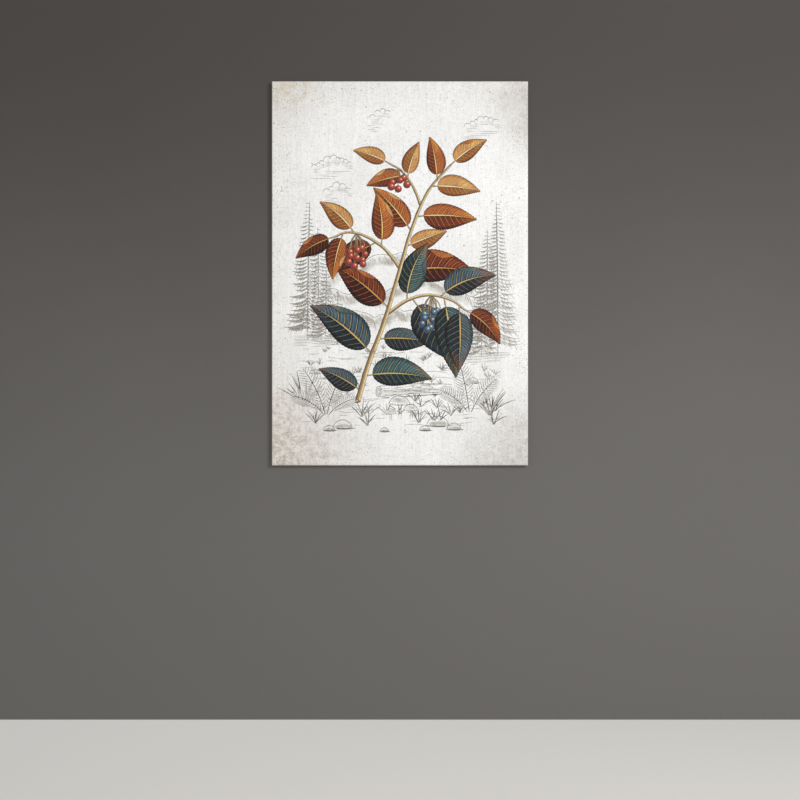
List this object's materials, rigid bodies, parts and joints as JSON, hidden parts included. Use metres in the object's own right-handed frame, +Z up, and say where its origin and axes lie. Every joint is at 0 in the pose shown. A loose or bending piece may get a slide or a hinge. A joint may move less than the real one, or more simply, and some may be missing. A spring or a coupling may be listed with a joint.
{
  "type": "stretched canvas wall picture",
  "caption": "Frameless wall picture: printed canvas wrapped round a braced wooden stretcher frame, with corner keys, sawtooth hangers and felt bumpers behind.",
  "frame": {"origin": "on the wall plane, midway between the two sawtooth hangers, at the height of the notches that a nail catches in", "axes": "+X to the right as the picture is looked at, +Y back into the wall (the picture side faces -Y), +Z up"},
  "size_m": [1, 0.0301, 1.5],
  "materials": {
    "canvas": "matt printed cotton canvas, off-white aged-paper ground",
    "pine": "planed pine, unvarnished",
    "beech": "sawn hardwood, unvarnished",
    "hanger_steel": "stamped steel, yellow plated",
    "bright_steel": "zinc plated",
    "felt": "pressed wool felt"
  },
  "bodies": {
    "root": {"canvas": "canvas", "bar_top": "pine", "bar_bottom": "pine", "bar_left": "pine", "bar_right": "pine", "brace_upright": "pine", "brace_level": "pine", "key_top_left_upright": "beech", "key_top_left_level": "beech", "key_top_right_upright": "beech", "key_top_right_level": "beech", "key_bottom_left_upright": "beech", "key_bottom_left_level": "beech", "key_bottom_right_upright": "beech", "key_bottom_right_level": "beech", "hanger_left": "hanger_steel", "hanger_right": "hanger_steel", "hanger_screw_left_outer": "bright_steel", "hanger_screw_left_inner": "bright_steel", "hanger_screw_right_outer": "bright_steel", "hanger_screw_right_inner": "bright_steel", "bumper_left": "felt", "bumper_right": "felt"}
  },
  "joints": []
}
